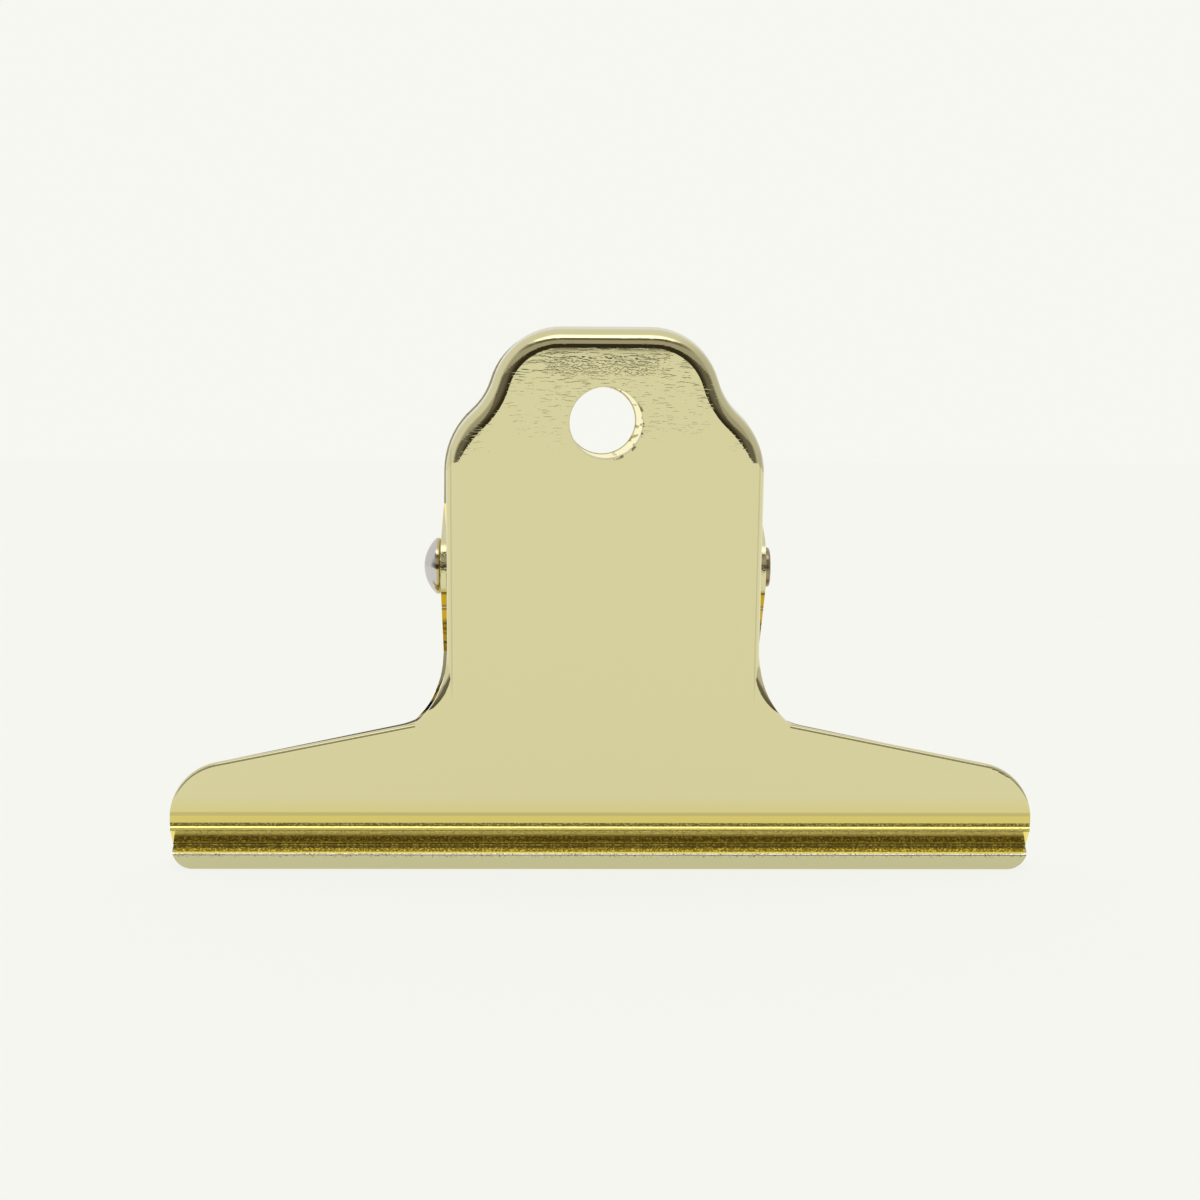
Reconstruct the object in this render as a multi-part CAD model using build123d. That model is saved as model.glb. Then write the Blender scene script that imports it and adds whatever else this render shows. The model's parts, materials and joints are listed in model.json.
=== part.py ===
from build123d import *
from math import acos, atan2, cos, degrees, dist, hypot, pi, radians, sin, sqrt, tan
import os

# Wide spring paper clip: two pressed sheet leaves hinged on a riveted pin and closed by a torsion spring.
# Frame: +X along the jaws, +Z up the handles, the front leaf towards -Y.
# The origin is at the middle of the jaws' lower edge. Lengths are in millimetres and angles in degrees.

# Sheet and fits
sheet = 0.9                 # thickness of both leaves
crimp_radius = 0.25         # inside radius of the sharp bends along the jaw
side_gap = 0.15             # play between the ears of the two leaves, on each side
jaw_gap = 0.2               # slit left between the two gripping ridges at rest
pin_play = 0.06             # radial play of the pin in its ears
rivet_gap = 0.15            # slack under the pin's head and its upset end
spring_gap = 0.15           # slack between a spring leg and the handle it pushes

# Jaw section: plate, facet drawn in, kick out to the crest, groove in to the gripping ridge, lip
leaf_tilt = 9.2             # lean of each leaf away from the middle plane
foot_reach = 4.85           # foot of the plate's front face from the middle plane
foot_height = 9.45
crest_reach = 4.15          # sharp crest over the groove, from the middle plane
crest_radius = 0.2
kick_out = 0.35             # how far the crest stands out from the facet above it
kick_drop = 0.5             # height of the kick
crease_height = 3.5         # height of the gripping ridge
upper_flank = 43.6          # slope of the groove's flank under the crest
lower_flank = 33.0          # slope of its flank over the lip
lip_reach = 2.6             # front of the lower lip from the middle plane
lip_edge_radius = 0.4

# Jaw outline, rises measured up the plate from its foot
jaw_width = 135.0
wing_tip_rise = 6.35       # where the front wing's upper edge would meet the jaw's end
rear_wing_drop = 1.4        # how much lower the rear wing is cut
wing_slope = 11.75
wing_tip_radius = 9.4
lip_corner_radius = 3.2
edge_round = 0.5            # rounding of the sheared edge along the wings and down the jaw's ends

# Handle outline, in the plane of the plate
handle_width = 48.3
corner_radius = 13.8        # trimmed edge in the inside corner between handle and wing
corner_turn = 50.0          # how far it turns before it runs out on the wing
shoulder_fall = 22.0        # height of the top above the centre of the shoulder's arc
shoulder_radius = 12.3
waist_radius = 11.5         # hollow between shoulder and crown
crown_radius = 10.6
crown_half_length = 6.7     # straight part of the top, each side of the middle
top_rise = 75.5
rear_top_drop = 0.6         # how much lower the rear handle ends
hole_rise = 61.7
hole_diameter = 11.0

# Turned-back rim: a round bend, then a straight wall
bend_radius = 2.5
rim_depth = 5.0             # depth of the wall round the handle
rim_foot_depth = 3.0        # depth left where the side turns into the wing
fold_corner_radius = 12.0   # the line along which the bend starts, in the inside corner
trim_clear = 0.05           # distance of the corner's trim from the handle's side

# Ears and pivot
pivot_height = 47.7
ear_radius = 5.5
ear_root_rise = 10.5        # reach of the ear's upper web above the pivot

# Hinge pin
pin_diameter = 4.0
head_diameter = 8.8
head_rim = 0.7              # straight part of the head's side
head_height = 2.6
head_edge = 0.3             # rounding of the head's side
upset_diameter = 6.2
upset_height = 0.8
upset_edge = 0.4

# Torsion spring
wire_diameter = 2.0
coil_inner_diameter = 5.4
coil_turns = 9              # whole turns, besides the part turn between the legs
turn_gap = 0.6              # gap between neighbouring turns
leg_lift = 17.0             # how far above the pivot, up the plate, a leg meets its handle
leg_pad = 8.0               # length of leg that lies along the handle
leg_bend_radius = 8.0

# Sizes that follow from those above
half_jaw = jaw_width / 2
half_handle = handle_width / 2
rear_grow = sheet + side_gap
ear_face = half_handle + rear_grow
rear_top_rise = top_rise - rear_top_drop
rear_tip_rise = wing_tip_rise - rear_wing_drop
pin_radius = pin_diameter / 2
wire_radius = wire_diameter / 2
coil_radius = (coil_inner_diameter + wire_diameter) / 2
turn_pitch = wire_diameter + turn_gap

# The plate's own frame: x along the jaws, y up the plate from its foot, z out of its front face.
plate_foot = Vector(0, -foot_reach, foot_height)
plate_up = Vector(0, -sin(radians(leaf_tilt)), cos(radians(leaf_tilt)))
plate_out = Vector(0, -cos(radians(leaf_tilt)), -sin(radians(leaf_tilt)))
leaf_frame = Plane(origin=plate_foot, x_dir=(1, 0, 0), z_dir=plate_out)
side_plane = Plane(origin=(0, 0, 0), x_dir=(0, 1, 0), z_dir=(1, 0, 0))
pivot = Vector(0, 0, pivot_height)
pivot_rise = (pivot - plate_foot).dot(plate_up)
pivot_depth = -(pivot - plate_foot).dot(plate_out)


def polar(centre, radius, angle):
    return (centre[0] + radius * cos(radians(angle)), centre[1] + radius * sin(radians(angle)))


# Height of a wing's upper edge at x, where tip is its rise at the jaw's end
def wing_rise(x, tip):
    return tip + (half_jaw - x) * tan(radians(wing_slope))


# Right half of the handle's outline, moved outwards by offset, from the middle of the top to the side
def handle_edge(offset, top):
    crown = (crown_half_length, top - crown_radius)
    shoulder = (half_handle - shoulder_radius, top - shoulder_fall)
    crown_span = crown_radius + waist_radius
    shoulder_span = shoulder_radius + waist_radius
    span = hypot(crown[0] - shoulder[0], crown[1] - shoulder[1])
    lean = degrees(atan2(crown[1] - shoulder[1], crown[0] - shoulder[0]))
    swing = degrees(acos((shoulder_span**2 + span**2 - crown_span**2) / (2 * shoulder_span * span)))
    shoulder_end = lean - swing
    waist = polar(shoulder, shoulder_span, shoulder_end)
    crown_end = degrees(atan2(waist[1] - crown[1], waist[0] - crown[0]))
    return [
        Line((0, top + offset), (crown_half_length, top + offset)),
        CenterArc(crown, crown_radius + offset, 90, crown_end - 90),
        CenterArc(waist, waist_radius - offset, crown_end + 180, shoulder_end - crown_end),
        CenterArc(shoulder, shoulder_radius + offset, shoulder_end, -shoulder_end),
    ]


# Line along which the bend starts: down the side at x = side and round the corner into the wing's edge
def fold_edge(side, top, tip):
    turn = 90 - wing_slope
    start = wing_rise(side, tip) + fold_corner_radius * tan(radians(turn / 2))
    arc = CenterArc((side + fold_corner_radius, start), fold_corner_radius, 180, turn)
    return [Line((side, top - shoulder_fall), (side, start)), arc]


# Trimmed edge in the inside corner, from the handle's side at x = side to where it runs out on the wing
def corner_edge(side, tip):
    end = side + corner_radius * (1 - cos(radians(corner_turn)))
    start = wing_rise(end, tip) + corner_radius * sin(radians(corner_turn))
    return CenterArc((side + corner_radius, start), corner_radius, 180, corner_turn)


# Edge of a wing, from the point where it starts, round the tip and down the jaw's end
def wing_edge(start, tip):
    setback = wing_tip_radius * tan(radians(90 - wing_slope) / 2)
    tip_centre = (half_jaw - wing_tip_radius, tip - setback)
    tip_arc = CenterArc(tip_centre, wing_tip_radius, 90 - wing_slope, wing_slope - 90)
    return [Line(start, tip_arc @ 0), tip_arc, Line(tip_arc @ 1, (half_jaw, -2 * foot_height))]


# What is cut from the rim outside the inside corner's outline
def corner_trim(side, tip):
    arc = corner_edge(side, tip)
    edges = [
        Line((side, pivot_rise), arc @ 0),
        arc,
        Line(arc @ 1, (half_jaw, tip)),
        Line((half_jaw, tip), (half_jaw, pivot_rise)),
        Line((half_jaw, pivot_rise), (side, pivot_rise)),
    ]
    return extrude(make_face(edges), amount=pivot_depth, both=True)


# What the rounding takes off the front of the sheared edge, from the inside corner down to the lip
def edge_shaving(side, tip):
    path = wing_edge(corner_edge(side, tip) @ 1, tip)
    outwards = (sin(radians(wing_slope)), cos(radians(wing_slope)), 0)
    start = Plane(origin=path[0] @ 0, x_dir=outwards, z_dir=path[0] % 0)
    square = Rectangle(2 * edge_round, 2 * edge_round)
    return sweep(start * (square - Pos(-edge_round, -edge_round) * Circle(edge_round)), path=Wire(path))


# Flat part of a leaf: inside the bend on the handle, out to the cut edge on the wings
def flat_outline(offset, top, tip):
    fold = fold_edge(half_handle + offset, top, tip)
    wing = wing_edge(fold[1] @ 1, tip)
    foot = wing[-1] @ 1
    edges = handle_edge(offset, top) + fold + wing + [
        Line(foot, (0, foot.Y)),
        Line((0, foot.Y), (0, top + offset)),
    ]
    half = make_face(edges)
    return half + mirror(half, Plane.YZ)


# Corners of the line that runs at a distance to the left of a line through the given points
def left_corners(points, distance):
    ways = [(end - start).normalized() for start, end in zip(points, points[1:])]
    sides = [Vector(-way.Y, way.X) for way in ways]
    inner = [
        point + (before + after) * (distance / (1 + before.dot(after)))
        for point, before, after in zip(points[1:], sides, sides[1:])]
    return [points[0] + sides[0] * distance, *inner, points[-1] + sides[-1] * distance]


# Section of the sheet across the jaw, from above the handle down to the lip.
# The kick over the crest is coined into the face alone.
def jaw_section():
    rise = tan(radians(upper_flank))
    fall = tan(radians(lower_flank))
    ridge = crimp_radius + sheet
    half_lean = radians(upper_flank - lower_flank) / 2
    half_fold = radians(upper_flank + lower_flank) / 2
    crease_reach = ridge + jaw_gap / 2 - crimp_radius * cos(half_lean) / sin(half_fold)
    crest_height = crease_height + (crest_reach - crease_reach) * rise
    head = plate_foot + plate_up * (top_rise + bend_radius)
    above = [Vector(head.Y, head.Z), Vector(-foot_reach, foot_height)]
    kick = Vector(-crest_reach + kick_out, crest_height + kick_drop)
    below = [
        Vector(-crest_reach, crest_height),
        Vector(-crease_reach, crease_height),
        Vector(-lip_reach, crease_height - (lip_reach - crease_reach) * fall),
        Vector(-lip_reach, 0),
    ]
    front = FilletPolyline(
        *above, kick, *below, radius=[ridge, crimp_radius, crest_radius, crimp_radius, lip_edge_radius])
    back = FilletPolyline(
        *left_corners(above + below, sheet), radius=[crimp_radius, crimp_radius, ridge, crimp_radius])
    return make_face([front, Line(front @ 1, back @ 1), back, Line(back @ 0, front @ 0)])


# Section of the rim, square to the handle's edge at the middle of the top, deep enough for the ears
def rim_section(offset, top):
    reach = pivot_depth + 2 * ear_radius
    inner = bend_radius - sheet
    edges = [
        Line((-sheet, 0), (0, 0)),
        CenterArc((0, -bend_radius), bend_radius, 90, -90),
        Line((bend_radius, -bend_radius), (bend_radius, -reach)),
        Line((bend_radius, -reach), (inner, -reach)),
        Line((inner, -reach), (inner, -bend_radius)),
        CenterArc((0, -bend_radius), inner, 0, 90),
        Line((0, -sheet), (-sheet, -sheet)),
        Line((-sheet, -sheet), (-sheet, 0)),
    ]
    start = Plane(origin=(0, top + offset, 0), x_dir=(0, 1, 0), z_dir=(1, 0, 0))
    return start * make_face(edges)


# What is kept of the rim, seen from the side: an even depth, an ear at the pivot and a shallow foot
def rim_profile(foot):
    above = top_rise + sheet + bend_radius
    strip = make_face(Polyline(
        (above, sheet), (above, -rim_depth), (pivot_rise, -rim_depth), (foot, -rim_foot_depth),
        (0, -rim_foot_depth), (0, sheet), close=True))
    root = Line((foot, -rim_foot_depth), (pivot_rise + ear_root_rise, -rim_depth))
    lobe = CenterArc((pivot_rise, -pivot_depth), ear_radius, 0, 360)
    ear = make_hull(ShapeList([root, lobe]).edges())
    return extrude(side_plane * (strip + ear), amount=half_jaw, both=True)


# A whole leaf in the front place, its handle and ears wider by grow on every side
def leaf(grow, top, tip):
    offset = grow - bend_radius
    fold = fold_edge(half_handle + offset, top, tip)
    bent = extrude(Plane.YZ * jaw_section(), amount=half_jaw + sheet, both=True)
    blank = extrude(leaf_frame * flat_outline(offset, top, tip), amount=-2 * foot_height)
    rim = sweep(rim_section(offset, top), path=Wire(handle_edge(offset, top) + fold))
    rim &= rim_profile((fold[1] @ 0).Y)
    corner_side = half_handle + grow + trim_clear
    rim -= corner_trim(corner_side, tip)
    rim = leaf_frame * (rim + mirror(rim, Plane.YZ))
    shaving = leaf_frame * edge_shaving(corner_side, tip)
    lip_round = Pos(half_jaw - lip_corner_radius, lip_corner_radius) * Circle(lip_corner_radius)
    lip_square = Pos(half_jaw, 0) * Rectangle(2 * lip_corner_radius, 2 * lip_corner_radius)
    lip_cut = extrude(Plane.XZ * (lip_square - lip_round), amount=2 * crest_reach)
    ear_bore = Pos(pivot) * Rot(0, 90, 0) * Cylinder(pin_radius + pin_play, jaw_width)
    hang_bore = leaf_frame * Pos(0, hole_rise, 0) * Cylinder(hole_diameter / 2, 4 * sheet)
    body = (bent & blank) + rim
    for cut in (shaving, lip_cut):
        body = body - cut - mirror(cut, Plane.YZ)
    return body - ear_bore - hang_bore


# One-piece rivet along X, domed head at the left, upset end at the right
def hinge_pin():
    head = head_diameter / 2
    upset = upset_diameter / 2
    head_face = -ear_face - rivet_gap
    upset_face = ear_face + rivet_gap
    dome = head_height - head_rim
    ball = (head**2 + dome**2) / (2 * dome)
    half_turn = atan2(head, ball - dome) / 2
    apex = head_face - head_height
    dome_foot = head_face - head_rim
    tail = upset_face + upset_height
    dome_middle = (apex + ball * (1 - cos(half_turn)), ball * sin(half_turn))
    edges = [
        ThreePointArc((apex, 0), dome_middle, (dome_foot, head)),
        Polyline(
            (dome_foot, head), (head_face, head), (head_face, pin_radius), (upset_face, pin_radius),
            (upset_face, upset), (tail, upset), (tail, 0), (apex, 0)),
    ]
    body = revolve(Plane.XZ * make_face(edges), axis=Axis.X)
    rims = body.edges().filter_by(GeomType.CIRCLE)
    body = fillet(rims.filter_by(lambda rim: rim.radius > upset + head_edge), head_edge)
    end = body.edges().filter_by(GeomType.CIRCLE).sort_by(Axis.X)[-1]
    return Pos(pivot) * fillet(end, upset_edge)


# Two arcs that join two points with the given directions
def arc_pair(start, start_way, end, end_way):
    chord = end - start
    ways = start_way + end_way
    spread = 2 * (1 - start_way.dot(end_way))
    reach = (sqrt(chord.dot(ways)**2 + spread * chord.dot(chord)) - chord.dot(ways)) / spread
    middle = (start + end + (start_way - end_way) * reach) / 2
    middle_way = chord - ways * reach
    return [Edge.make_tangent_arc(start, start_way, middle), Edge.make_tangent_arc(middle, middle_way, end)]


# Path of the wire from the tip of the front leg, round the coil, to the tip of the rear leg
def spring_path():
    rest = plate_foot + plate_up * (pivot_rise + leg_lift) - plate_out * (sheet + spring_gap + wire_radius)
    arm = rest - pivot
    front_angle = degrees(atan2(arm.Z, arm.Y) + acos(coil_radius / hypot(arm.Y, arm.Z)))
    sweep_angle = 360 * (coil_turns + 1) + 180 - 2 * front_angle
    half_length = turn_pitch * sweep_angle / 720

    def coil_point(share):
        angle = radians(front_angle + sweep_angle * share)
        along = half_length * (2 * share - 1)
        return pivot + Vector(along, coil_radius * cos(angle), coil_radius * sin(angle))

    def coil_way(share):
        angle = radians(front_angle + sweep_angle * share)
        climb = 0 if share in (0, 1) else turn_pitch / (2 * pi * coil_radius)
        return Vector(climb, -sin(angle), cos(angle)).normalized()

    shift = Vector(-half_length, 0, 0)
    knee = rest + shift
    leg_way = (knee - coil_point(0)).normalized()
    setback = leg_bend_radius * tan(leg_way.get_angle(plate_up) * pi / 360)
    bend_low = knee - leg_way * setback
    bend_high = knee + plate_up * setback
    tip = knee + plate_up * leg_pad
    front_leg = [Line(tip, bend_high), Edge.make_tangent_arc(bend_high, -plate_up, bend_low),
                 Line(bend_low, coil_point(0))]
    steps = round(sweep_angle / 90)
    coil = []
    for step in range(steps):
        here = step / steps
        there = (step + 1) / steps
        coil += arc_pair(coil_point(here), coil_way(here), coil_point(there), coil_way(there))

    def turned(point):
        return Vector(-point.X, -point.Y, point.Z)

    rear_up = turned(plate_up)
    rear_low = turned(bend_low)
    rear_high = turned(bend_high)
    rear_leg = [Line(coil_point(1), rear_low), Edge.make_tangent_arc(rear_low, turned(leg_way), rear_high),
                Line(rear_high, turned(tip))]
    return front_leg, coil, rear_leg, tip


# Least clear distance of the wire from itself, on points along its middle line at least half a turn apart
def self_gap(edges):
    points = []
    run = 0
    for edge in edges:
        for part in range(12):
            points.append((run + edge.length * part / 12, tuple(edge @ (part / 12))))
        run += edge.length
    away = pi * coil_radius
    least = min(
        dist(here, there) for place, here in points for other, there in points if other - place > away)
    return least - wire_diameter


def torsion_spring():
    front_leg, coil, rear_leg, tip = spring_path()
    edges = front_leg + coil + rear_leg
    print("least gap of the wire to itself, mm:", round(self_gap(edges), 3))
    start = Plane(origin=tip, x_dir=(1, 0, 0), z_dir=-plate_up)
    return sweep(start * Circle(wire_radius), path=Wire(edges))


nodes = {
    "front_leaf": leaf(0, top_rise, wing_tip_rise),
    "rear_leaf": mirror(leaf(rear_grow, rear_top_rise, rear_tip_rise), Plane.XZ),
    "hinge_pin": hinge_pin(),
    "torsion_spring": torsion_spring(),
}
os.makedirs("parts", exist_ok=True)
for name, shape in nodes.items():
    export_step(shape, f"parts/{name}.step")
    print(name, len(shape.solids()), shape.is_valid, round(shape.volume, 1), shape.bounding_box().size)
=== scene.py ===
import json
import math
import bpy
from mathutils import Matrix, Quaternion, Vector


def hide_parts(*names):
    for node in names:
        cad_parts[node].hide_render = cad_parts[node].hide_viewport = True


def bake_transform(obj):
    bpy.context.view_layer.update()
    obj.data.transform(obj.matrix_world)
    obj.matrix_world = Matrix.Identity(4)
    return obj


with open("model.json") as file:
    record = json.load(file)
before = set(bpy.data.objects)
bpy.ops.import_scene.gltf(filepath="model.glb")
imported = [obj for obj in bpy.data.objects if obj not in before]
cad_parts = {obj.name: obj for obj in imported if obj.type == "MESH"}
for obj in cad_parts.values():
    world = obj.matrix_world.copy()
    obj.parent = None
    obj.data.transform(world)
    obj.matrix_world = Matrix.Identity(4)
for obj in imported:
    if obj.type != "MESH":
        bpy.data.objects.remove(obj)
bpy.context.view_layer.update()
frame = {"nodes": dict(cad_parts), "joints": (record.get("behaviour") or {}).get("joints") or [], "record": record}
nodes = frame["nodes"]
scene = bpy.context.scene
scene.view_settings.view_transform = "Standard"
print("frame loaded:", ", ".join(sorted(nodes)))

# places that the frame gives: the hinge, and the front handle's plate at its hanging hole
pivot = frame["joints"][0]["pos_m"]
mounts = {mount["name"]: mount for mount in frame["record"]["mounts"]}
hangingHole = mounts["front_hanging_hole"]
holeRadius = hangingHole["dims"]["r_mm"] / 1000
sheetThickness = hangingHole["dims"]["length_mm"] / 1000
plateMiddle = Vector(hangingHole["pos_m"])      # halfway through the sheet
plateOut = Vector(hangingHole["axis"])
plateUp = Vector((0, plateOut.z, -plateOut.y))


# camera, at the angle of the photograph
photoView = {
    "aim": (-0.0004, 0.0, 0.0424),
    "distance": 0.360,
    "azimuth": -1.45,
    "elevation": 5.2,
    "roll": 0.33,           # the clip leans a little to the right
    "lens": 68.67,
    "sensor": 36.0,
    "clipStart": 0.01,
}


def addCamera(sizes):
    azimuth = math.radians(sizes["azimuth"])
    elevation = math.radians(sizes["elevation"])
    back = Vector((math.sin(azimuth) * math.cos(elevation),
                   -math.cos(azimuth) * math.cos(elevation), math.sin(elevation)))
    lens = bpy.data.cameras.new("photoCamera")
    lens.lens = sizes["lens"]
    lens.sensor_width = sizes["sensor"]
    lens.clip_start = sizes["clipStart"]
    camera = bpy.data.objects.new("photoCamera", lens)
    scene.collection.objects.link(camera)
    camera.location = Vector(sizes["aim"]) + back * sizes["distance"]
    camera.rotation_mode = "QUATERNION"
    lean = Quaternion((0, 0, 1), math.radians(sizes["roll"]))
    camera.rotation_quaternion = (-back).to_track_quat("-Z", "Y") @ lean
    scene.camera = camera


addCamera(photoView)
print("camera placed")


# a node socket that can be used in Python sums
class Socket:
    def __init__(self, tree, plug=None):
        self.tree = tree
        self.plug = plug

    def make(self, kind, settings=None, sockets=None, out=0):
        node = self.tree.nodes.new(kind)
        for name, value in (settings or {}).items():
            if name == "stops":
                ramp = node.color_ramp
                while len(ramp.elements) < len(value):
                    ramp.elements.new(1.0)
                for element, (place, colour) in zip(ramp.elements, value):
                    element.position = place
                    element.color = colour
            else:
                setattr(node, name, value)
        for name, value in (sockets or {}).items():
            if isinstance(value, Socket):
                self.tree.links.new(value.plug, node.inputs[name])
            else:
                node.inputs[name].default_value = value
        return Socket(self.tree, node.outputs[out] if node.outputs else None)

    def sum(self, operation, first, second=0.0):
        return self.make("ShaderNodeMath", {"operation": operation}, {0: first, 1: second})

    def __add__(self, other):
        return self.sum("ADD", self, other)

    def __radd__(self, other):
        return self.sum("ADD", other, self)

    def __sub__(self, other):
        return self.sum("SUBTRACT", self, other)

    def __rsub__(self, other):
        return self.sum("SUBTRACT", other, self)

    def __mul__(self, other):
        return self.sum("MULTIPLY", self, other)

    def __rmul__(self, other):
        return self.sum("MULTIPLY", other, self)

    def __pow__(self, power):
        return self.sum("POWER", self, power)

    def __abs__(self):
        return self.sum("ABSOLUTE", self)

    def ease(self, low, high, start=0.0, end=1.0):
        return self.make("ShaderNodeMapRange", {"interpolation_type": "SMOOTHSTEP"}, {
            "Value": self, "From Min": low, "From Max": high, "To Min": start, "To Max": end})

    def fade(self, low, high):              # 1 up to low, 0 from high on
        return self.ease(low, high, 1.0, 0.0)

    def band(self, middle, half, blur):     # 1 within half of the middle, fading out over blur
        low, high = middle - half, middle + half
        return self.ease(low - blur, low) * self.fade(high, high + blur)

    def tint(self, base, colour):           # base where the mask is 0, colour where it is 1
        return self.make("ShaderNodeMix", {"data_type": "RGBA"}, {
            "Factor": self, 6: base, 7: colour}, out=2)

    def noise(self, scale, detail, roughness=0.5):
        return self.make("ShaderNodeTexNoise", None, {
            "Vector": self, "Scale": scale, "Detail": detail, "Roughness": roughness}, out="Fac")

    def stretch(self, scale):
        return self.make("ShaderNodeMapping", None, {"Vector": self, "Scale": scale})

    def bump(self, distance, strength=1.0, over=None, invert=False):
        sockets = {"Strength": strength, "Distance": distance, "Height": self}
        if over is not None:
            sockets["Normal"] = over
        return self.make("ShaderNodeBump", {"invert": invert}, sockets, out="Normal")

    def axes(self):
        split = self.make("ShaderNodeSeparateXYZ", None, {"Vector": self})
        return [Socket(self.tree, plug) for plug in split.plug.node.outputs]


def newMaterial(name):
    material = bpy.data.materials.new(name)
    material.use_nodes = True
    material.node_tree.nodes.clear()
    return material, Socket(material.node_tree)


def metalShader(shade, colour, roughness, normal):
    return shade.make("ShaderNodeBsdfPrincipled", None, {
        "Base Color": colour, "Metallic": 1.0, "Roughness": roughness, "Normal": normal})


# studio: pale floor, white tent with a dark opening at the camera's side
studio = {
    "paper": (0.922, 0.930, 0.880, 1),
    "floorHalf": 1.2,
    "floorFront": -0.276,
    "floorGlow": 1.02,
    "evenness": 0.88,       # of the floor as it is seen
    "tent": 0.83,
    "rightWall": 0.62,
    "rightFrom": (0.35, 0.95),
    "frontFrom": (0.10, 0.50),
    "dark": (0.04, 0.5),    # what stands in the opening, with its warmth
    "blind": (0.45, 0.12),
    "gap": (0.16, 0.3),
    "softbox": 2.2,         # high in front
    "openingSteps": (0.580, 0.605, 0.780, 0.810, 0.880, 0.915),     # 0 is straight down, 1 straight up
    "edgeLight": 0.32,      # the opening is paler at its sides
    "edgeFrom": (0.22, 0.70),
}


def grey(level, warmth=0.0):    # warmth takes most from the blue
    return (level, level * (1 - 0.4 * warmth), level * (1 - warmth), 1)


def addStudio(sizes):
    half = sizes["floorHalf"]
    bpy.ops.object.select_all(action="DESELECT")
    bpy.ops.mesh.primitive_plane_add(size=2 * half, location=(0, half + sizes["floorFront"], 0))
    floor = bpy.context.object
    floor.name = "floor"
    bpy.ops.object.transform_apply(location=True)
    paper, shade = newMaterial("floorPaper")
    lit = shade.make("ShaderNodeBsdfDiffuse", None, {"Color": sizes["paper"]})
    plain = shade.make("ShaderNodeEmission", None, {
        "Color": sizes["paper"], "Strength": sizes["floorGlow"]})
    seen = shade.make("ShaderNodeLightPath", out="Is Camera Ray")
    mirrored = shade.make("ShaderNodeLightPath", out="Is Glossy Ray")
    even = (seen + mirrored) * sizes["evenness"]    # the rest keeps the shadow
    surface = shade.make("ShaderNodeMixShader", None, {0: even, 1: lit, 2: plain})
    shade.make("ShaderNodeOutputMaterial", None, {"Surface": surface})
    floor.data.materials.append(paper)

    world = bpy.data.worlds.new("studioTent")
    scene.world = world
    world.use_nodes = True
    world.node_tree.nodes.clear()
    shade = Socket(world.node_tree)
    across, depth, height = shade.make("ShaderNodeTexCoord", out="Generated").axes()
    blind = grey(*sizes["blind"])
    gap = grey(*sizes["gap"])
    levels = (grey(*sizes["dark"]), blind, blind, gap, gap, grey(sizes["softbox"]))
    stops = list(zip(sizes["openingSteps"], levels))
    opening = shade.make("ShaderNodeValToRGB", {"stops": stops}, {"Fac": height * 0.5 + 0.5}, out="Color")
    framed = (abs(across).ease(*sizes["edgeFrom"]) * sizes["edgeLight"]).tint(opening, blind)
    wall = across.ease(*sizes["rightFrom"]).tint(grey(sizes["tent"]), grey(sizes["rightWall"]))
    tent = (0 - depth).ease(*sizes["frontFrom"]).tint(wall, framed)
    colour = shade.make("ShaderNodeLightPath", out="Is Camera Ray").tint(tent, sizes["paper"])
    glow = shade.make("ShaderNodeBackground", None, {"Color": colour, "Strength": 1.0})
    shade.make("ShaderNodeOutputWorld", None, {"Surface": glow})


addStudio(studio)
print("studio lit")


# bright pale-gold plating over rolled sheet
platedSheet = {
    "gold": (0.735, 0.683, 0.397, 1),
    # dark colour for real dirt and for painted shade in the jaw's creases and along the bend
    "dirt": (0.150, 0.112, 0.028, 1),
    "roughness": 0.035,
    "clouding": (0.7, 0.6),     # least share of that roughness, and what the clouds add
    "cloudSize": 0.00625,
    "speckSize": 0.00030,
    "speckDepth": 0.000024,
    "blotsPerMetre": 1100.0,
}

# the formed strip of the jaw, deeper in colour as a painted reflection of gold in gold, with painted shade,
# reflection and highlight along its folds; a band is middle, half height and blur
pressedJaw = {
    "deepGold": (0.740, 0.625, 0.185, 1),
    # darker band at the foot of the strip: painted shade of the shadowed floor it reflects
    "footGold": (0.560, 0.480, 0.185, 1),
    # brighter, richer gold on the groove's flank: painted reflection of gold in gold
    "flankGold": (0.950, 0.800, 0.220, 1),
    # darker, greyer lip: painted shade of the shadowed floor in front of it
    "lipGold": (0.600, 0.570, 0.335, 1),
    # near-white line on the lip's top bend: painted highlight
    "wornGold": (1.0, 0.985, 0.920, 1),
    "roughness": 0.06,                          # added where the sheet was formed
    "footHeight": 0.00945,                      # the strip starts here and runs down to the lip
    "footSoft": (-0.0008, 0.0002, 0.0030),      # its edge: full, part and gone, from the foot
    "footShare": 0.45,
    "ridgeFade": (0.0032, 0.0037),
    "ridgeShare": 0.55,
    "lipFade": (0.00235, 0.00255),
    "footBand": (0.00915, 0.0002, 0.0002),
    "footTint": 0.8,
    "kink": (0.00738, 0.00020, 0.00012),        # painted shade line over the crest
    "crestFoot": (0.00640, 0.00010, 0.00012),
    "crestFootDirt": 0.8,
    "crestGrit": (0.0069, 0.0006, 0.0004),
    "flank": (0.0051, 0.0011, 0.0003),
    "crease": (0.00365, 0.00018, 0.00015),
    "lineCut": (0.35, 0.55, 0.45, 1.0),         # the painted shade lines break up between these specks
    "ridgeGrit": (0.0030, 0.0006, 0.0004),
    "overLip": (0.00292, 0.00022, 0.00015),
    "overLipCut": (0.36, 0.52, 0.0, 0.85),
    "lipEdge": (0.00250, 0.00019, 0.00006),
    "stainFrom": (0.0017, 0.0021),
    "stainCut": (0.58, 0.64, 0.0, 0.7),
}
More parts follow.
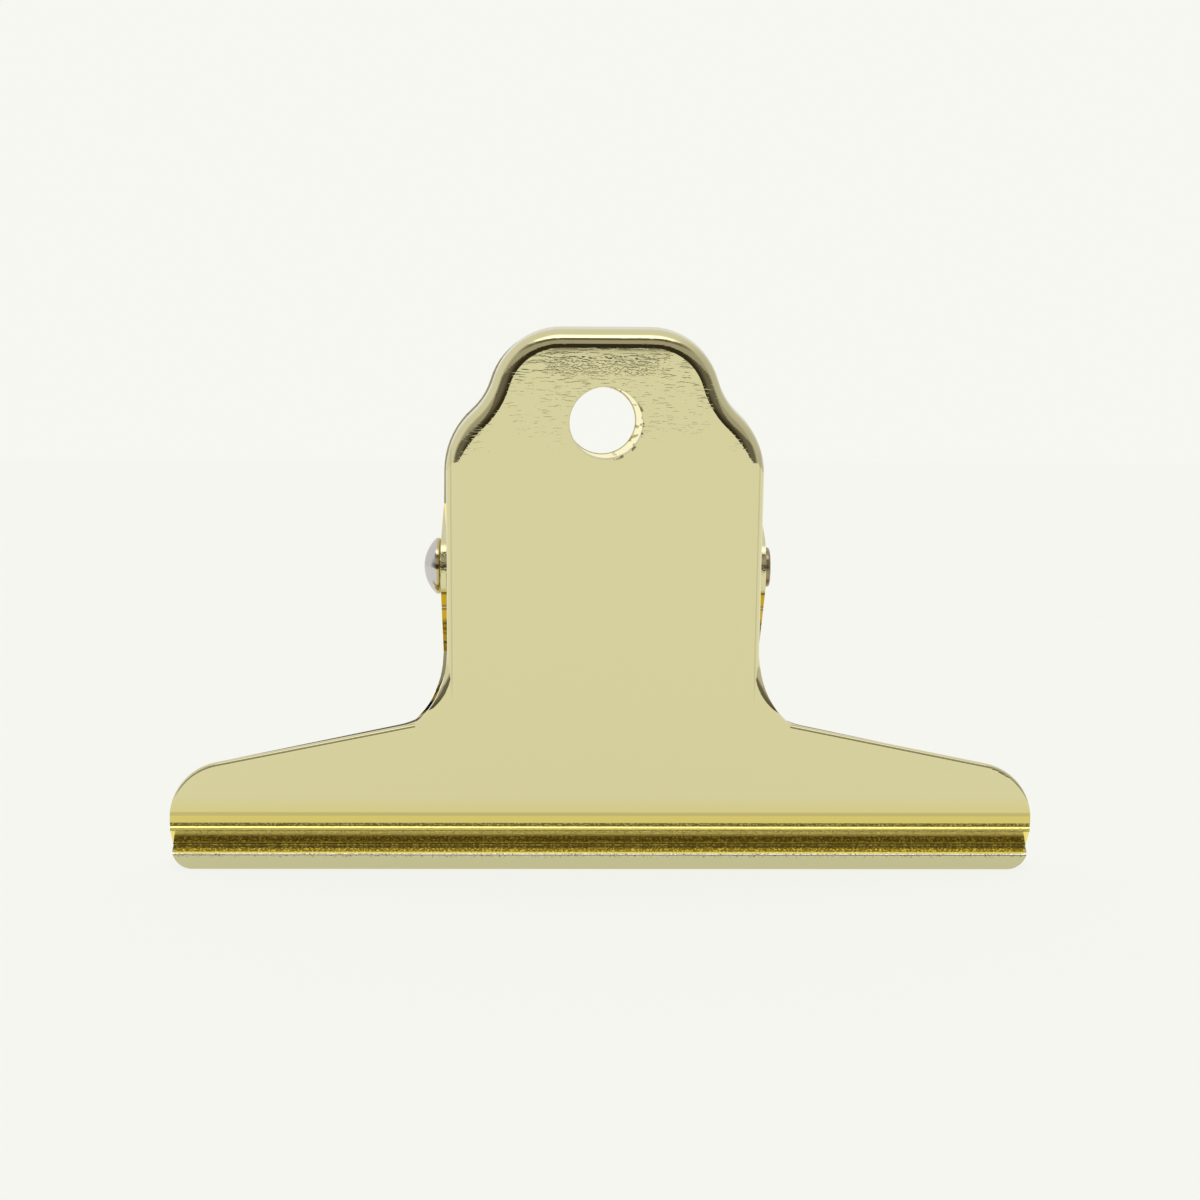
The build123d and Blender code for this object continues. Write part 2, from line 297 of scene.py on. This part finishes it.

# handle and ears: rolling grain, a tool mark under the top, the bend's line in painted shade, sheared edges
rolledHandle = {
    "grainLength": 0.0017,
    "grainWidth": 0.00024,
    "grainDepth": 0.0000035,
    "grainCut": (0.54, 0.70),
    "grainPatch": (0.35, 0.65, 0.15, 1.0),
    "grainFrom": (0.062, 0.071),                # heights over which the grain comes in
    "grainSide": (0.011, 0.020, 1.0, 2.6),      # stronger towards the sides
    "mark": (0.0787, 0.00085, 0.00085),
    "markEnds": (0.0042, 0.0105),
    "markCut": (0.50, 0.66, 0.0, 1.6),
    "gritSize": 0.00055,
    "gritFlat": 2.6,
    "foldLine": (0.02335, 0.00005, 0.00012),    # painted shade where the bend shows along the straight sides
    "foldSpan": (0.048, 0.016, 0.006),
    "foldDirt": 0.22,
    "earEdge": (0.02475, 0.00040, 0.00004),     # the outer ears, level with the hinge
    "earSpan": (0.0025, 0.0012),
    "earDepth": 2.0,
}

# punched edge of the hanging hole, distances from its edge and from the outer face
punchedHole = {
    "gold": (0.440, 0.415, 0.270, 1),
    "outerFace": (-0.0004, -0.0002),
    "innerFace": (-0.0008, -0.0006),
    "rimWidth": 0.00018,
    # a thin darker ring round the hole's edge on the outer face
    "rimDirt": 0.25,
    "beadReach": (0.00030, 0.00042),            # beads of plating, low and at the right
    "beadSide": (0.0005, 0.0025),
    "beadTop": (0.0020, 0.0035),
    "beadCut": (0.52, 0.56, 0.0, 0.8),
    "dishReach": (0.0012, 0.0018),
    "dish": 0.40,                               # slope of the edge on the inside
    "ragged": 0.00002,
    "tornReach": (0.00010, 0.00022, 0.8, 0.0),
    "chipSide": (0.001, 0.003),
    "chipCut": (0.58, 0.63, 0.0, 0.75),
}


def jawLook(height, speck, gold, sizes):
    foot = sizes["footHeight"]
    full, part, gone = sizes["footSoft"]
    formed = (height.ease(foot + full, foot, 1.0, sizes["footShare"])
              * height.fade(foot + part, foot + gone)
              * height.ease(*sizes["ridgeFade"], sizes["ridgeShare"], 1.0))
    onLip = height.fade(*sizes["lipFade"])
    # the deeper gold of the formed strip is a painted reflection of gold in gold
    plain = formed.tint(gold, sizes["deepGold"])
    # the foot band is painted shade
    footShaded = (height.band(*sizes["footBand"]) * sizes["footTint"]).tint(plain, sizes["footGold"])
    # the flank's brighter gold is a painted reflection
    hollow = height.band(*sizes["flank"]).tint(footShaded, sizes["flankGold"])
    # the lip's darker colour is painted shade
    ended = onLip.tint(hollow, sizes["lipGold"])
    # the near-white line at the lip's edge is a painted highlight
    colour = height.band(*sizes["lipEdge"]).tint(ended, sizes["wornGold"])
    # dark lines along the kink, the crest's foot and the crease are painted shade; the lip's stains and the marks
    # over the lip are added to them
    shadeLines = (height.band(*sizes["kink"]) + height.band(*sizes["crestFoot"]) * sizes["crestFootDirt"]
             + height.band(*sizes["crease"]))
    grimeAndShade = (shadeLines * speck.ease(*sizes["lineCut"])
             + height.ease(*sizes["stainFrom"]) * onLip * speck.ease(*sizes["stainCut"])
             + height.band(*sizes["overLip"]) * speck.ease(*sizes["overLipCut"]))
    return formed, colour, grimeAndShade


def rolledRelief(place, side, height, cloud, sizes):
    length, width = sizes["grainLength"], sizes["grainWidth"]
    grain = place.stretch((1 / length, 1 / length, 1 / width)).noise(1.0, 2.0)
    grit = place.stretch((1.0, 1.0, sizes["gritFlat"])).noise(1 / sizes["gritSize"], 1.0)
    streaks = (grain.ease(*sizes["grainCut"]) * cloud.ease(*sizes["grainPatch"])
               * side.ease(*sizes["grainSide"]) * height.ease(*sizes["grainFrom"]))
    mark = height.band(*sizes["mark"]) * side.fade(*sizes["markEnds"]) * grit.ease(*sizes["markCut"])
    return streaks + mark


def holeLook(across, depth, height, blot, sizes):
    away = abs(depth) + plateMiddle.y           # both plates alike
    rise = height - plateMiddle.z
    outward = rise * plateOut.z - away * plateOut.y - sheetThickness / 2
    above = rise * plateUp.z - away * plateUp.y
    fromEdge = (across * across + above * above) ** 0.5 - holeRadius
    outer = outward.ease(*sizes["outerFace"])
    rim = fromEdge.fade(0.0, sizes["rimWidth"]) * outer
    beads = (fromEdge.fade(*sizes["beadReach"]) * outer * across.ease(*sizes["beadSide"])
             * above.fade(*sizes["beadTop"]) * blot.ease(*sizes["beadCut"]))
    inside = fromEdge.fade(*sizes["dishReach"]) * outward.fade(*sizes["innerFace"])
    torn = (fromEdge.ease(*sizes["tornReach"])
            + across.ease(*sizes["chipSide"]) * blot.ease(*sizes["chipCut"]))
    return rim * sizes["rimDirt"] + beads, inside, torn, above


def makePlatedSheet(sizes, jaw, handle, hole):
    material, shade = newMaterial("platedSheet")
    place = shade.make("ShaderNodeTexCoord", out="Object")
    across, depth, height = place.axes()
    side = abs(across)
    speck = place.noise(1 / sizes["speckSize"], 2.0, 0.6)
    cloud = place.noise(1 / sizes["cloudSize"], 2.0)
    blot = place.noise(sizes["blotsPerMetre"], 1.0)
    formed, colour, jawGrimeAndShade = jawLook(height, speck, sizes["gold"], jaw)
    holeDarkMarks, inside, torn, above = holeLook(across, depth, height, blot, hole)
    # painted shade along the bend of the straight sides
    foldLine = side.band(*handle["foldLine"]) * height.band(*handle["foldSpan"])
    # real stains and beads together with painted shade from the jaw's lines and the bend's line
    grimeAndShade = jawGrimeAndShade + holeDarkMarks + foldLine * handle["foldDirt"]

    rolled = rolledRelief(place, side, height, cloud, handle).bump(handle["grainDepth"])
    pressed = height.band(*jaw["crestGrit"]) + height.band(*jaw["ridgeGrit"])
    sheared = side.band(*handle["earEdge"]) * height.band(pivot[2], *handle["earSpan"])
    stamped = (speck * (pressed + sheared * handle["earDepth"])).bump(sizes["speckDepth"], over=rolled)
    dished = (above + speck * hole["ragged"]).bump(hole["dish"], invert=True)

    least, added = sizes["clouding"]
    rough = sizes["roughness"] * (least + cloud * added) + formed * jaw["roughness"]
    sheet = metalShader(shade, grimeAndShade.tint(colour, sizes["dirt"]), rough, stamped)
    edge = metalShader(shade, torn.tint(hole["gold"], sizes["dirt"]), rough, dished)
    metal = shade.make("ShaderNodeMixShader", None, {0: inside, 1: sheet, 2: edge})
    shade.make("ShaderNodeOutputMaterial", None, {"Surface": metal})
    return material


# nickel-plated rivet, turned and then upset at one end
nickelPin = {
    "nickel": (0.62, 0.60, 0.58, 1),
    "tarnish": (0.30, 0.235, 0.120, 1),
    "brassy": (0.58, 0.47, 0.20, 1),            # painted reflection of the gold ear on the head's rim
    "brassyBand": (-0.02555, 0.00025, 0.0001),
    "headRadius": 0.0044,
    "domeTo": (-0.02615, -0.02595),
    "crown": 48.0,                              # how much rounder the polish is than the dome, per metre
    "upsetFrom": (0.0250, 0.0254),
    "dentDepth": 0.00006,
    "dentsPerMetre": 900.0,
    "headDents": 0.15,                          # share of the depth away from the upset end
    "tarnishCut": (0.3, 0.7, 0.7, 1.0),
    "roughness": 0.14,
    "clouding": (0.7, 0.6),
    "upsetRoughness": 0.18,
}


def makeNickelPin(sizes):
    material, shade = newMaterial("nickelPin")
    place = shade.make("ShaderNodeTexCoord", out="Object")
    across, depth, height = place.axes()
    rise = height - pivot[2]
    hammered = place.noise(sizes["dentsPerMetre"], 3.0, 0.6)
    upset = across.ease(*sizes["upsetFrom"])
    dome = across.fade(*sizes["domeTo"])
    crown = (sizes["headRadius"] ** 2 - depth * depth - rise * rise) * dome * sizes["crown"]
    worked = (upset * hammered.ease(*sizes["tarnishCut"])).tint(sizes["nickel"], sizes["tarnish"])
    # painted reflection of the gold ear on the head's rim
    colour = across.band(*sizes["brassyBand"]).tint(worked, sizes["brassy"])
    dents = (hammered * (sizes["headDents"] + upset) * sizes["dentDepth"] + crown).bump(1.0)
    least, added = sizes["clouding"]
    rough = sizes["roughness"] * (least + hammered * added) + upset * sizes["upsetRoughness"]
    metal = metalShader(shade, colour, rough, dents)
    shade.make("ShaderNodeOutputMaterial", None, {"Surface": metal})
    return material


# drawn and zinc-plated spring wire
springWire = {
    "zinc": (0.56, 0.55, 0.53, 1),
    "dull": (0.36, 0.35, 0.34, 1),
    "dullPerMetre": 700.0,
    "dullCut": (0.45, 0.75),
    "dullRoughness": 0.16,
    "linesPerMetre": 5200.0,
    "lineDepth": 0.000008,
    "lineStrength": 0.6,
    "roughness": 0.26,
}


def makeSpringWire(sizes):
    material, shade = newMaterial("springWire")
    place = shade.make("ShaderNodeTexCoord", out="Object")
    cloud = place.noise(sizes["dullPerMetre"], 4.0, 0.65)
    shadeLines = place.noise(sizes["linesPerMetre"], 2.0)
    colour = cloud.ease(*sizes["dullCut"]).tint(sizes["zinc"], sizes["dull"])
    drawn = shadeLines.bump(sizes["lineDepth"], sizes["lineStrength"])
    metal = metalShader(shade, colour, sizes["roughness"] + cloud * sizes["dullRoughness"], drawn)
    shade.make("ShaderNodeOutputMaterial", None, {"Surface": metal})
    return material


def giveFinish(obj, material):
    obj.data.materials.clear()
    obj.data.materials.append(material)


goldFinish = makePlatedSheet(platedSheet, pressedJaw, rolledHandle, punchedHole)
giveFinish(nodes["front_leaf"], goldFinish)
giveFinish(nodes["rear_leaf"], goldFinish)
giveFinish(nodes["hinge_pin"], makeNickelPin(nickelPin))
print("finishes made")


# torsion spring: coil round the pin, one leg on each handle
torsionSpring = {
    "wireRadius": 0.001,
    "coilRadius": 0.0037,
    "turns": 9,
    "pitch": 0.0026,
    "legGap": 0.00015,          # between a leg and its plate
    "legLift": 0.017,           # from the pivot up the plate
    "legPad": 0.008,
    "legBend": 0.008,
    "tipRound": 0.00025,
    "tipSegments": 3,
    "endReach": 0.0012,         # an end's points lie within this of its middle
    "weld": 0.00001,
    "sides": 24,
    "stepsPerTurn": 40,
    "bendSteps": 10,
}


def pickVerts(obj, wanted):
    bpy.ops.object.mode_set(mode="EDIT")
    bpy.ops.mesh.select_mode(type="VERT")
    bpy.ops.mesh.select_all(action="DESELECT")
    bpy.ops.object.mode_set(mode="OBJECT")
    for vert in obj.data.vertices:
        vert.select = wanted(vert.co)
    bpy.ops.object.mode_set(mode="EDIT")


def addLeg(spring, sizes, start, legWay, knee, turned):
    bend = legWay.angle(plateUp)
    setback = sizes["legBend"] * math.tan(bend / 2)
    low = knee - legWay * setback
    inside = (plateUp - legWay * plateUp.dot(legWay)).normalized()
    axis = legWay.cross(plateUp).normalized()
    reach = sizes["endReach"]
    pickVerts(spring, lambda co: (co - turned @ start).length < reach)
    bpy.ops.mesh.extrude_region_move(TRANSFORM_OT_translate={"value": turned @ (low - start)})
    bpy.ops.mesh.spin(steps=sizes["bendSteps"], angle=bend, axis=turned @ axis,
                      center=turned @ (low + inside * sizes["legBend"]))
    bpy.ops.object.mode_set(mode="OBJECT")
    high = turned @ (knee + plateUp * setback)
    pickVerts(spring, lambda co: (co - high).length < reach)
    bpy.ops.mesh.extrude_region_move(
        TRANSFORM_OT_translate={"value": turned @ (plateUp * (sizes["legPad"] - setback))})
    bpy.ops.mesh.edge_face_add()
    bpy.ops.mesh.bevel(offset=sizes["tipRound"], segments=sizes["tipSegments"], affect="EDGES")
    bpy.ops.object.mode_set(mode="OBJECT")


def addSpring(sizes):
    arm = plateMiddle - Vector(pivot)
    inset = sheetThickness / 2 + sizes["legGap"] + sizes["wireRadius"]
    rest = arm + plateUp * (sizes["legLift"] - arm.dot(plateUp)) - plateOut * inset
    radius = sizes["coilRadius"]
    startAngle = math.atan2(rest.z, rest.y) + math.acos(radius / math.hypot(rest.y, rest.z))
    turn = 2 * math.pi * (sizes["turns"] + 1) + math.pi - 2 * startAngle
    length = sizes["pitch"] * turn / (2 * math.pi)

    start = Vector((-length / 2, radius * math.cos(startAngle), radius * math.sin(startAngle)))
    bpy.ops.object.select_all(action="DESELECT")
    bpy.ops.mesh.primitive_circle_add(vertices=sizes["sides"], radius=sizes["wireRadius"],
                                      location=start, rotation=(startAngle, 0, 0))
    spring = bpy.context.object
    spring.name = "springCoil"
    bpy.ops.object.transform_apply(location=True, rotation=True)
    wind = spring.modifiers.new("wind", "SCREW")    # the coil, wound about X through the origin
    wind.axis = "X"
    wind.angle = turn
    wind.screw_offset = length
    wind.steps = wind.render_steps = round(sizes["stepsPerTurn"] * turn / (2 * math.pi))
    bpy.ops.object.modifier_apply(modifier="wind")

    knee = Vector((-length / 2, rest.y, rest.z))
    legWay = (knee - start).normalized()
    for angle in (0, math.pi):
        addLeg(spring, sizes, start, legWay, knee, Matrix.Rotation(angle, 3, "Z"))

    pickVerts(spring, lambda co: True)
    bpy.ops.mesh.remove_doubles(threshold=sizes["weld"])
    bpy.ops.mesh.normals_make_consistent(inside=False)
    bpy.ops.object.mode_set(mode="OBJECT")
    bpy.ops.object.shade_smooth()
    spring.location = pivot
    bpy.ops.object.transform_apply(location=True)
    giveFinish(spring, makeSpringWire(springWire))

    side = length / 2 - sizes["wireRadius"]
    -side
    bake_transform(spring)
    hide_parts("torsion_spring")
    return spring


spring = addSpring(torsionSpring)
print("spring wound:", len(spring.data.polygons), "faces")
